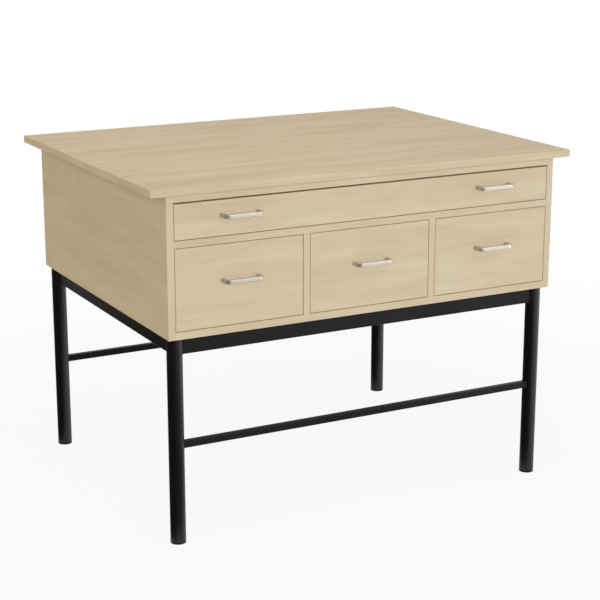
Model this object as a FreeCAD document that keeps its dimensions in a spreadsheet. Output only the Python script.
import FreeCAD, Part
import os
import re

# Cutting table: a cabinet of laminated boards with four drawers, on a base of welded steel tube.
# X runs along the front to the right, Y to the back and Z up from the floor, in millimetres.
# The origin is on the floor, in the middle of the space that the table takes up, pulls included.

# Driving sizes

SIZES = {
    # Worktop
    "top_width": 1219.2,
    "top_depth": 914.4,
    "top_thickness": 19.0,
    "side_overhang": 44.6,
    "front_overhang": 13.0,
    "back_overhang": 15.0,
    "arris_radius": 0.8,
    # Cabinet boards
    "base_height": 541.0,
    "cabinet_height": 359.0,
    "board": 19.0,
    "inner_board": 18.0,
    "rail_depth": 100.0,
    "wide_opening": 94.0,
    # Drawer fronts
    "front_thickness": 19.0,
    "front_gap": 1.5,
    "wide_head_gap": 4.0,
    # Drawer boxes
    "box_board": 15.0,
    "box_lift": 11.5,
    "box_headroom": 13.5,
    "box_rear_room": 100.0,
    "back_setback": 10.0,
    "bottom_thickness": 6.0,
    "bottom_rise": 8.0,
    "groove_depth": 6.0,
    "groove_slack": 0.2,
    # Drawer slides
    "slide_length": 700.0,
    "slide_height": 45.0,
    "slide_space": 13.0,
    "slide_channel": 10.0,
    "slide_wall": 1.2,
    "slide_play": 0.3,
    "slide_web_gap": 1.5,
    "slide_rise": 10.5,
    "slide_setback": 2.0,
    # Pulls
    "pull_centres": 96.0,
    "pull_bar": 10.0,
    "pull_projection": 32.0,
    "pull_corner": 15.0,
    "pull_inner_corner": 5.0,
    "pull_arris": 1.2,
    "wide_pull_drop": 37.5,
    "low_pull_drop": 90.2,
    # Pull screws
    "pull_screw_diameter": 4.0,
    "pull_screw_bite": 10.0,
    "pull_screw_head": 8.0,
    "pull_screw_head_height": 2.5,
    # Steel base
    "leg_diameter": 40.0,
    "leg_wall": 2.0,
    "leg_side_inset": 28.0,
    "leg_front_inset": 31.0,
    "leg_back_inset": 25.0,
    "apron_height": 45.0,
    "apron_thickness": 18.0,
    "stretcher_size": 18.0,
    "stretcher_height": 260.0,
    "tube_wall": 1.5,
    "tube_corner": 2.5,
    "weld_gap": 0.2,
    # Leg end caps
    "cap_flange": 5.0,
    "cap_plug": 20.0,
    "cap_play": 0.1,
    "cap_edge": 1.0,
    # Dowels
    "dowel_diameter": 8.0,
    "dowel_length": 30.0,
    "dowel_face_depth": 12.0,
    "dowel_end_distance": 60.0,
    "rail_dowel_distance": 25.0,
    "dowel_play": 0.05,
    # Wood screws
    "screw_diameter": 4.2,
    "screw_length": 17.0,
    "screw_head": 8.5,
    "screw_head_height": 3.0,
    "screw_top_bite": 12.0,
    "screw_end_distance": 150.0,
    "driver_hole": 11.0,
    # Room that a hole leaves around and beyond its screw or dowel
    "screw_play": 0.1,
    "hole_relief": 1.0,
}

# Places and sizes that follow from the driving ones

PLACES = {
    "top_back": "(pull_projection + top_depth - front_overhang) / 2",
    "top_front": "top_back - top_depth",
    "cabinet_front": "top_front + front_overhang",
    "cabinet_back": "top_back - back_overhang",
    "cabinet_half": "top_width / 2 - side_overhang",
    "inner_half": "cabinet_half - board",
    "inner_back": "cabinet_back - board",
    "inner_depth": "inner_back - cabinet_front",
    "cabinet_floor": "base_height + board",
    "cabinet_top": "base_height + cabinet_height",
    "rail_underside": "cabinet_top - board",
    "shelf_top": "rail_underside - wide_opening",
    "shelf_underside": "shelf_top - inner_board",
    "low_opening": "shelf_underside - cabinet_floor",
    "bay_width": "2 * (inner_half - inner_board) / 3",
    "bay_pitch": "bay_width + inner_board",
    "rear_rail_front": "inner_back - rail_depth",
    "box_front": "cabinet_front + front_thickness",
    "box_back": "inner_back - box_rear_room",
    "slide_front": "box_front + slide_setback",
    "slide_step": "slide_wall + slide_web_gap",
    "leg_radius": "leg_diameter / 2",
    "leg_out": "cabinet_half - leg_side_inset",
    "leg_front": "cabinet_front + leg_front_inset",
    "leg_rear": "cabinet_back - leg_back_inset",
    "apron_base": "base_height - apron_height",
    "pull_half": "(pull_centres + pull_bar) / 2",
    "pull_gap_half": "(pull_centres - pull_bar) / 2",
}

HANDS = ("left", "right")
NEAR = 0.0001

doc = FreeCAD.newDocument("CuttingTable")
sheet = doc.addObject("Spreadsheet::Sheet", "Sizes")
for row, (alias, value) in enumerate(SIZES.items(), 1):
    sheet.set(f"A{row}", alias)
    sheet.set(f"B{row}", str(value))
    sheet.setAlias(f"B{row}", alias)
doc.recompute()

sub_parts = {}


# Formulas and bindings

def spell(formula):
    """Write a formula of named sizes and places out in cells of the sheet."""
    def cell(match):
        word = match.group()
        if word in SIZES:
            return f"Sizes.{word}"
        return f"({spell(PLACES[word])})"
    return re.sub(r"[a-z_]+", cell, str(formula))


def bind(item, **formulas):
    """Tie properties of an object to formulas."""
    for name, formula in formulas.items():
        item.setExpression(name, spell(formula))


def place(item, spot):
    """Tie an object's place to three formulas."""
    for axis, formula in zip("xyz", spot):
        item.setExpression(f"Placement.Base.{axis}", spell(formula))


def keep(label, item):
    """Name an object as one of the table's sub-parts."""
    item.Label = label
    sub_parts[label] = item
    return item


def beside(hand, near, width, centre="0"):
    """Low X of a piece that stands off a centre line, with its nearer face at a distance."""
    if hand == "left":
        return f"{centre} - ({near}) - ({width})"
    return f"{centre} + ({near})"


def spread(first, last, count):
    """Formulas of evenly spaced places, both ends included."""
    step = f"(({last}) - ({first})) / {count - 1}"
    return [f"{first} + {number} * {step}" for number in range(count)]


# Plain solids

def box(name, corner, size):
    """A block with its low corner and its three sizes tied to formulas."""
    block = doc.addObject("Part::Box", name)
    bind(block, Length=size[0], Width=size[1], Height=size[2])
    place(block, corner)
    return block


TURNS = {
    "X": FreeCAD.Rotation(FreeCAD.Vector(0, 1, 0), 90),
    "Y": FreeCAD.Rotation(FreeCAD.Vector(1, 0, 0), -90),
    "Z": FreeCAD.Rotation(),
}


def rod(name, foot, radius, length, axis="Z"):
    """A round bar that runs from its foot along one axis."""
    bar = doc.addObject("Part::Cylinder", name)
    bar.Placement = FreeCAD.Placement(FreeCAD.Vector(), TURNS[axis])
    bind(bar, Radius=radius, Height=length)
    place(bar, foot)
    return bar


def bundle(name, items):
    """Several separate solids taken as one object."""
    group = doc.addObject("Part::Compound", name)
    group.Links = items
    return group


def joined(name, *pieces):
    """Solids that meet, fused into one."""
    fuse = doc.addObject("Part::MultiFuse", name)
    fuse.Shapes = pieces
    return fuse


def carved(name, base, tools):
    """A solid with some others cut out of it."""
    cut = doc.addObject("Part::Cut", name)
    cut.Base = base
    cut.Tool = tools[0] if len(tools) == 1 else bundle(f"{name}_cuts", tools)
    return cut


# Solids with rounded edges

def edges_on(shape, side):
    """Names of the edges that lie in one outer face, such as the face at YMin."""
    level = getattr(shape.BoundBox, side)
    found = set()
    for number, edge in enumerate(shape.Edges, 1):
        ends = [getattr(edge.BoundBox, side[0] + end) for end in ("Min", "Max")]
        if all(abs(end - level) < NEAR for end in ends):
            found.add(f"Edge{number}")
    return found


def edges_along(shape, axis):
    """Names of the edges that run the whole length of a shape along one axis."""
    length = getattr(shape.BoundBox, axis + "Length")
    found = set()
    for number, edge in enumerate(shape.Edges, 1):
        if abs(getattr(edge.BoundBox, axis + "Length") - length) < NEAR:
            found.add(f"Edge{number}")
    return found


def blank(name, corner, size):
    """A body that starts as a block, placed by its low corner."""
    body = doc.addObject("PartDesign::Body", name)
    block = body.newObject("PartDesign::AdditiveBox", f"{name}_block")
    bind(block, Length=size[0], Width=size[1], Height=size[2])
    place(body, corner)
    doc.recompute()
    return body


def round_off(body, edges, radius):
    """Round some edges of a body's newest feature."""
    base = body.Tip
    fillet = body.newObject("PartDesign::Fillet", f"{body.Name}_round")
    fillet.Base = (base, sorted(edges))
    bind(fillet, Radius=radius)
    doc.recompute()


# Dowels: each one sits in a hole that runs through the joint between two boards

dowels = []
dowel_holes = {}


def dowel(axis, foot, boards):
    """One dowel, and the hole for it in each of the two boards that it joins."""
    number = len(dowels) + 1
    along = "XYZ".index(axis)
    dowels.append(rod(f"dowel_{number}", foot, "dowel_diameter / 2", "dowel_length", axis))
    mouth = list(foot)
    mouth[along] = f"{foot[along]} - hole_relief"
    hole = rod(f"dowel_hole_{number}", mouth, "dowel_diameter / 2 + dowel_play",
               "dowel_length + 2 * hole_relief", axis)
    for board in boards:
        dowel_holes.setdefault(board, []).append(hole)


def side_dowels(board, spots):
    """Dowels that join both ends of a board to the side panels."""
    for hand in HANDS:
        foot_x = "-inner_half - dowel_face_depth"
        if hand == "right":
            foot_x = "inner_half + dowel_face_depth - dowel_length"
        for spot_y, spot_z in spots:
            dowel("X", (foot_x, spot_y, spot_z), (board, f"{hand}_side_panel"))


def lay_out_dowels():
    """All the dowels of the cabinet."""
    deep = spread("cabinet_front + dowel_end_distance", "inner_back - dowel_end_distance", 3)
    high = spread("cabinet_floor + dowel_end_distance", "rail_underside - dowel_end_distance", 3)
    rail = spread("rail_dowel_distance", "rail_depth - rail_dowel_distance", 2)
    side_dowels("bottom_panel", [(y, "base_height + board / 2") for y in deep])
    side_dowels("drawer_shelf", [(y, "shelf_top - inner_board / 2") for y in deep])
    side_dowels("front_top_rail", [(f"cabinet_front + {y}", "cabinet_top - board / 2") for y in rail])
    side_dowels("rear_top_rail", [(f"rear_rail_front + {y}", "cabinet_top - board / 2") for y in rail])
    side_dowels("back_panel", [("cabinet_back - board / 2", z) for z in high])
    for hand in HANDS:
        middle = beside(hand, "bay_pitch / 2", "0")
        for y in deep:
            low = (middle, y, "cabinet_floor - dowel_face_depth")
            dowel("Z", low, (f"{hand}_divider", "bottom_panel"))
            high_foot = (middle, y, "shelf_underside + dowel_face_depth - dowel_length")
            dowel("Z", high_foot, (f"{hand}_divider", "drawer_shelf"))


# Wood screws: they hold the cabinet on the aprons and the worktop on the rails

screws = []
screw_holes = {}


def wood_screw(spot, bearing, under_head, boards):
    """One upright screw under a bearing height, with its holes and its driver hole below."""
    number = len(screws) + 1
    shank = rod(f"screw_shank_{number}", (*spot, bearing), "screw_diameter / 2", "screw_length")
    head_foot = (*spot, f"{bearing} - screw_head_height")
    head = rod(f"screw_head_{number}", head_foot, "screw_head / 2", "screw_head_height")
    screws.append(joined(f"screw_{number}", shank, head))
    hole = rod(f"screw_hole_{number}", (*spot, bearing), "screw_diameter / 2 + screw_play",
               "screw_length + hole_relief")
    way_foot, way_length = under_head
    way = rod(f"driver_way_{number}", (*spot, way_foot), "driver_hole / 2", way_length)
    held, holder = boards
    screw_holes.setdefault(holder, []).append(hole)
    screw_holes.setdefault(held, []).append(joined(f"stepped_hole_{number}", hole, way))


def apron_screws():
    """Screws inside the aprons, with their heads under the upper wall."""
    bearing = "base_height - tube_wall"
    way = ("apron_base", "apron_height - tube_wall")
    along = spread("-leg_out + screw_end_distance", "leg_out - screw_end_distance", 2)
    across = spread("leg_front + screw_end_distance", "leg_rear - screw_end_distance", 2)
    for end in ("front", "rear"):
        for x in along:
            wood_screw((x, f"leg_{end}"), bearing, way, (f"{end}_apron", "bottom_panel"))
    for hand in HANDS:
        for y in across:
            spot = (beside(hand, "leg_out", "0"), y)
            wood_screw(spot, bearing, way, (f"{hand}_apron", "bottom_panel"))


def rail_screws():
    """Screws sunk in the rails from below, which reach into the worktop."""
    bearing = "cabinet_top + screw_top_bite - screw_length"
    way = ("rail_underside", f"{bearing} - rail_underside")
    along = spread("-inner_half + screw_end_distance", "inner_half - screw_end_distance", 4)
    for rail, front in (("front_top_rail", "cabinet_front"), ("rear_top_rail", "rear_rail_front")):
        for x in along:
            wood_screw((x, f"{front} + rail_depth / 2"), bearing, way, (rail, "worktop"))


# Worktop and cabinet boards

def finish_board(label, board):
    """Drill a board's dowel and screw holes and keep it as a sub-part."""
    holes = dowel_holes.get(label, []) + screw_holes.get(label, [])
    keep(label, carved(f"{label}_drilled", board, holes))


def worktop():
    corner = ("-top_width / 2", "top_front", "cabinet_top")
    body = blank("worktop_board", corner, ("top_width", "top_depth", "top_thickness"))
    shape = body.Tip.Shape
    round_off(body, {f"Edge{number}" for number in range(1, len(shape.Edges) + 1)}, "arris_radius")
    finish_board("worktop", body)


def side_panels():
    size = ("board", "cabinet_back - cabinet_front", "cabinet_height")
    for hand, outer_face in zip(HANDS, ("XMin", "XMax")):
        corner = (beside(hand, "inner_half", "board"), "cabinet_front", "base_height")
        body = blank(f"{hand}_side_board", corner, size)
        round_off(body, edges_on(body.Tip.Shape, outer_face), "arris_radius")
        finish_board(f"{hand}_side_panel", body)


def inner_boards():
    """The boards that run between the side panels."""
    width = "2 * inner_half"
    boards = {
        "bottom_panel": ("cabinet_front", "base_height", "inner_depth", "board"),
        "drawer_shelf": ("cabinet_front", "shelf_underside", "inner_depth", "inner_board"),
        "front_top_rail": ("cabinet_front", "rail_underside", "rail_depth", "board"),
        "rear_top_rail": ("rear_rail_front", "rail_underside", "rail_depth", "board"),
        "back_panel": ("inner_back", "base_height", "board", "cabinet_height"),
    }
    for label, (front, underside, depth, height) in boards.items():
        block = box(f"{label}_board", ("-inner_half", front, underside), (width, depth, height))
        finish_board(label, block)


def dividers():
    for hand in HANDS:
        corner = (beside(hand, "bay_width / 2", "inner_board"), "cabinet_front", "cabinet_floor")
        block = box(f"{hand}_divider_board", corner, ("inner_board", "inner_depth", "low_opening"))
        finish_board(f"{hand}_divider", block)


# Steel base

def leg_tools():
    """Round bars a weld gap larger than the legs, which cope the ends of the tubes."""
    tools = {}
    for end in ("front", "rear"):
        for hand in HANDS:
            foot = (beside(hand, "leg_out", "0"), f"leg_{end}", "0")
            tools[end, hand] = rod(f"{end}_{hand}_cope", foot, "leg_radius + weld_gap", "base_height")
    return tools


def legs():
    for end in ("front", "rear"):
        for hand in HANDS:
            name = f"{end}_{hand}_leg"
            foot = (beside(hand, "leg_out", "0"), f"leg_{end}", "cap_flange")
            outside = rod(f"{name}_outside", foot, "leg_radius", "base_height - cap_flange")
            inside = rod(f"{name}_bore", foot, "leg_radius - leg_wall", "base_height - cap_flange")
            keep(name, carved(f"{name}_tube", outside, [inside]))


def tube(label, axis, middle, length, width, height, copes):
    """A tube between two legs, along X or Y, rounded at its corners and coped at its ends."""
    hollow_width = f"{width} - 2 * tube_wall"
    hollow_height = f"{height} - 2 * tube_wall"
    size = (length, width, height)
    hollow = (length, hollow_width, hollow_height)
    inset = ("0", "tube_wall", "tube_wall")
    if axis == "Y":
        size = (width, length, height)
        hollow = (hollow_width, length, hollow_height)
        inset = ("tube_wall", "0", "tube_wall")
    corner = [f"{centre} - ({extent}) / 2" for centre, extent in zip(middle, size)]
    body = blank(f"{label}_tube", corner, size)
    round_off(body, edges_along(body.Tip.Shape, axis), "tube_corner")
    bore = body.newObject("PartDesign::SubtractiveBox", f"{label}_bore")
    bind(bore, Length=hollow[0], Width=hollow[1], Height=hollow[2])
    place(bore, inset)
    keep(label, carved(f"{label}_coped", body, copes + screw_holes.get(label, [])))


def aprons_and_stretchers():
    copes = leg_tools()
    apron_middle = "base_height - apron_height / 2"
    for end in ("front", "rear"):
        pair = [copes[end, hand] for hand in HANDS]
        tube(f"{end}_apron", "X", ("0", f"leg_{end}", apron_middle), "2 * leg_out",
             "apron_thickness", "apron_height", pair)
        tube(f"{end}_stretcher", "X", ("0", f"leg_{end}", "stretcher_height"), "2 * leg_out",
             "stretcher_size", "stretcher_size", pair)
    for hand in HANDS:
        pair = [copes[end, hand] for end in ("front", "rear")]
        middle = (beside(hand, "leg_out", "0"), "(leg_front + leg_rear) / 2", apron_middle)
        tube(f"{hand}_apron", "Y", middle, "leg_rear - leg_front",
             "apron_thickness", "apron_height", pair)


def leg_end_caps():
    """Plastic caps: a plug inside each leg and a flange that stands on the floor."""
    caps = []
    for end in ("front", "rear"):
        for hand in HANDS:
            body = doc.addObject("PartDesign::Body", f"{end}_{hand}_cap")
            flange = body.newObject("PartDesign::AdditiveCylinder", f"{end}_{hand}_flange")
            bind(flange, Radius="leg_radius", Height="cap_flange")
            doc.recompute()
            round_off(body, edges_on(flange.Shape, "ZMin"), "cap_edge")
            plug = body.newObject("PartDesign::AdditiveCylinder", f"{end}_{hand}_plug")
            bind(plug, Radius="leg_radius - leg_wall - cap_play", Height="cap_flange + cap_plug")
            place(body, (beside(hand, "leg_out", "0"), f"leg_{end}", "0"))
            caps.append(body)
    keep("leg_end_caps", bundle("end_caps", caps))


# Drawers

class Drawer:
    """One drawer's places, as formulas of the named sizes."""

    def __init__(self, name, centre, opening, head_gap, pulls, pull_drop):
        width, base, height = opening
        self.name = name
        self.centre = centre
        self.opening_half = f"({width}) / 2"
        self.front_width = f"({width} - 2 * front_gap)"
        self.front_height = f"({height} - front_gap - {head_gap})"
        self.front_base = f"({base} + front_gap)"
        self.box_half = f"({width} / 2 - slide_space)"
        self.inside_half = f"({self.box_half} - box_board)"
        self.box_base = f"({self.front_base} + box_lift)"
        self.box_height = f"({self.front_height} - box_lift - box_headroom)"
        self.bottom_base = f"({self.box_base} + bottom_rise)"
        self.slide_middle = f"({self.box_base} + slide_rise + slide_height / 2)"
        self.pulls = [f"({centre} + {pull})" for pull in pulls]
        self.pull_height = f"({self.front_base} + {self.front_height} - {pull_drop})"

    def pull_screw_spots(self):
        """Where screws pass through the front."""
        for pull in self.pulls:
            for side in ("-", "+"):
                yield f"{pull} {side} pull_centres / 2"


LOW_OPENING = ("bay_width", "cabinet_floor", "low_opening")
DRAWERS = (
    Drawer("wide_drawer", "0", ("2 * inner_half", "shelf_top", "wide_opening"),
           "wide_head_gap", ("-bay_pitch", "bay_pitch"), "wide_pull_drop"),
    Drawer("left_drawer", "-bay_pitch", LOW_OPENING, "front_gap", ("0",), "low_pull_drop"),
    Drawer("middle_drawer", "0", LOW_OPENING, "front_gap", ("0",), "low_pull_drop"),
    Drawer("right_drawer", "bay_pitch", LOW_OPENING, "front_gap", ("0",), "low_pull_drop"),
)


def drawer_front(drawer):
    """The front, with housings for the sides, a groove for the bottom and holes for the pulls."""
    name = f"{drawer.name}_front"
    corner = (f"{drawer.centre} - {drawer.front_width} / 2", "cabinet_front", drawer.front_base)
    body = blank(f"{name}_board", corner,
                 (drawer.front_width, "front_thickness", drawer.front_height))
    round_off(body, edges_on(body.Tip.Shape, "YMin"), "arris_radius")
    groove_front = "box_front - groove_depth"
    tools = [box(f"{name}_groove",
                 (f"{drawer.centre} - {drawer.inside_half}", groove_front, drawer.bottom_base),
                 (f"2 * {drawer.inside_half}", "groove_depth", "bottom_thickness + groove_slack"))]
    for hand in HANDS:
        low_x = beside(hand, drawer.inside_half, "box_board", drawer.centre)
        tools.append(box(f"{name}_{hand}_housing", (low_x, groove_front, drawer.box_base),
                         ("box_board", "groove_depth", drawer.box_height)))
    holes = [rod(f"{name}_hole_{number}", (x, "cabinet_front", drawer.pull_height),
                 "pull_screw_diameter / 2 + screw_play", "front_thickness", "Y")
             for number, x in enumerate(drawer.pull_screw_spots())]
    housed = carved(f"{name}_housed", body, [joined(f"{name}_housings", *tools)])
    keep(name, carved(f"{name}_drilled", housed, holes))


def drawer_sides(drawer):
    """Both sides, grooved for the bottom and housed for the back."""
    back_front = "box_back - back_setback - box_board"
    size = ("box_board", "box_back - box_front + groove_depth", drawer.box_height)
    for hand in HANDS:
        name = f"{drawer.name}_{hand}_side"
        low_x = beside(hand, drawer.inside_half, "box_board", drawer.centre)
        block = box(f"{name}_board", (low_x, "box_front - groove_depth", drawer.box_base), size)
        groove_x = beside(hand, drawer.inside_half, "groove_depth", drawer.centre)
        groove = box(f"{name}_groove", (groove_x, "box_front - groove_depth", drawer.bottom_base),
                     ("groove_depth", size[1], "bottom_thickness + groove_slack"))
        housing = box(f"{name}_housing", (groove_x, back_front, drawer.bottom_base),
                      ("groove_depth", "box_board", f"{drawer.box_height} - bottom_rise"))
        keep(name, carved(f"{name}_housed", block, [joined(f"{name}_cuts", groove, housing)]))


def drawer_back(drawer):
    """The back stands on the bottom panel, with its ends housed in the sides."""
    half = f"({drawer.inside_half} + groove_depth)"
    corner = (f"{drawer.centre} - {half}", "box_back - back_setback - box_board",
              f"{drawer.bottom_base} + bottom_thickness")
    size = (f"2 * {half}", "box_board", f"{drawer.box_height} - bottom_rise - bottom_thickness")
    keep(f"{drawer.name}_back", box(f"{drawer.name}_back_board", corner, size))


def drawer_bottom(drawer):
    """The bottom panel, slid into its grooves from behind, under the back."""
    half = f"({drawer.inside_half} + groove_depth - groove_slack)"
    front = "box_front - groove_depth + groove_slack"
    corner = (f"{drawer.centre} - {half}", front, drawer.bottom_base)
    size = (f"2 * {half}", f"box_back - back_setback - ({front})", "bottom_thickness")
    keep(f"{drawer.name}_bottom", box(f"{drawer.name}_bottom_panel", corner, size))


def pull(name, spot):
    """A square bar bent into a bow, with rounded corners and a screw hole in each foot."""
    body = doc.addObject("PartDesign::Body", name)
    block = body.newObject("PartDesign::AdditiveBox", f"{name}_block")
    bind(block, Length="2 * pull_half", Width="pull_projection", Height="pull_bar")
    place(block, ("-pull_half", "-pull_projection", "0"))
    gap = body.newObject("PartDesign::SubtractiveBox", f"{name}_gap")
    bind(gap, Length="2 * pull_gap_half", Width="pull_projection - pull_bar", Height="pull_bar")
    place(gap, ("-pull_gap_half", "-(pull_projection - pull_bar)", "0"))
    doc.recompute()
    shape = body.Tip.Shape
    feet = edges_on(shape, "YMax")
    round_off(body, edges_along(shape, "Z") - edges_on(shape, "YMin") - feet, "pull_inner_corner")
    shape = body.Tip.Shape
    round_off(body, edges_along(shape, "Z") & edges_on(shape, "YMin"), "pull_corner")
    shape = body.Tip.Shape
    outlines = edges_on(shape, "ZMin") | edges_on(shape, "ZMax")
    round_off(body, outlines - edges_on(shape, "YMax"), "pull_arris")
    for side in ("-", ""):
        hole = body.newObject("PartDesign::SubtractiveCylinder", f"{name}_hole")
        hole.Placement = FreeCAD.Placement(FreeCAD.Vector(), TURNS["Y"])
        bind(hole, Radius="pull_screw_diameter / 2 + screw_play", Height="pull_screw_bite")
        place(hole, (f"{side}pull_centres / 2", "-pull_screw_bite", "pull_bar / 2"))
    place(body, (spot[0], spot[1], f"{spot[2]} - pull_bar / 2"))
    return body


def drawer_pulls(drawer):
    bows = [pull(f"{drawer.name}_bow_{number}", (x, "cabinet_front", drawer.pull_height))
            for number, x in enumerate(drawer.pulls)]
    if len(bows) == 1:
        keep(f"{drawer.name}_pull", bows[0])
    else:
        keep(f"{drawer.name}_pulls", bundle(f"{drawer.name}_bows", bows))


def drawer_pull_screws(drawer):
    """Screws through the front from inside, into the feet of the pulls."""
    length = "front_thickness + pull_screw_bite - hole_relief"
    pieces = []
    for number, x in enumerate(drawer.pull_screw_spots()):
        name = f"{drawer.name}_pull_screw_{number}"
        shank = rod(f"{name}_shank", (x, f"box_front - ({length})", drawer.pull_height),
                    "pull_screw_diameter / 2", length, "Y")
        head = rod(f"{name}_head", (x, "box_front", drawer.pull_height),
                   "pull_screw_head / 2", "pull_screw_head_height", "Y")
        pieces.append(joined(name, shank, head))
    keep(f"{drawer.name}_pull_screws", bundle(f"{drawer.name}_pull_screw_set", pieces))


# Slides: three channels nest on each side of a drawer, each a little lower than the one around it

def channel(name, drawer, hand, near, width, nested, open_inward):
    """One member of a slide: a channel whose open side faces the drawer or the cabinet."""
    height = f"(slide_height - {2 * nested} * (slide_wall + slide_play))"
    low_x = beside(hand, near, width, drawer.centre)
    block = box(f"{name}_block", (low_x, "slide_front", f"{drawer.slide_middle} - {height} / 2"),
                (width, "slide_length", height))
    hollow_near = near if open_inward else f"{near} + slide_wall"
    hollow_x = beside(hand, hollow_near, f"{width} - slide_wall", drawer.centre)
    hollow_height = f"({height} - 2 * slide_wall)"
    corner = (hollow_x, "slide_front", f"{drawer.slide_middle} - {hollow_height} / 2")
    hollow = box(f"{name}_hollow", corner, (f"{width} - slide_wall", "slide_length", hollow_height))
    return carved(name, block, [hollow])


def drawer_slides(drawer):
    """Both slides of a drawer; the cabinet members come back for the cabinet to keep."""
    members = {"cabinet": [], "middle": [], "drawer": []}
    for hand in HANDS:
        name = f"{drawer.name}_{hand}"
        members["cabinet"].append(channel(
            f"{name}_cabinet_member", drawer, hand, f"{drawer.opening_half} - slide_channel",
            "slide_channel", 0, True))
        members["middle"].append(channel(
            f"{name}_middle_member", drawer, hand, f"{drawer.box_half} + slide_web_gap",
            "slide_space - slide_step - slide_web_gap", 1, True))
        members["drawer"].append(channel(
            f"{name}_drawer_member", drawer, hand, drawer.box_half,
            "slide_space - 2 * slide_step", 2, False))
    for member in ("middle", "drawer"):
        label = f"{drawer.name}_slide_{member}_members"
        keep(label, bundle(f"{label}_pair", members[member]))
    return members["cabinet"]


# Assembly

lay_out_dowels()
apron_screws()
rail_screws()
worktop()
side_panels()
inner_boards()
dividers()
legs()
aprons_and_stretchers()
leg_end_caps()
keep("cabinet_dowels", bundle("dowel_set", dowels))
keep("wood_screws", bundle("screw_set", screws))

cabinet_members = []
for drawer in DRAWERS:
    drawer_front(drawer)
    drawer_sides(drawer)
    drawer_back(drawer)
    drawer_bottom(drawer)
    drawer_pulls(drawer)
    drawer_pull_screws(drawer)
    cabinet_members += drawer_slides(drawer)
keep("slide_cabinet_members", bundle("cabinet_member_set", cabinet_members))
doc.recompute()

# Checks, then one file for each sub-part

for item in doc.Objects:
    if "Invalid" in item.State or "Error" in item.State:
        raise RuntimeError(f"{item.Label} did not build: {item.State}")
for label, item in sub_parts.items():
    if item.Shape.isNull() or not item.Shape.isValid() or not item.Shape.Solids:
        raise RuntimeError(f"{label} has no sound shape")

os.makedirs("parts", exist_ok=True)
for label, item in sub_parts.items():
    item.Shape.exportStep(f"parts/{label}.step")
print(f"{len(sub_parts)} sub-parts written")
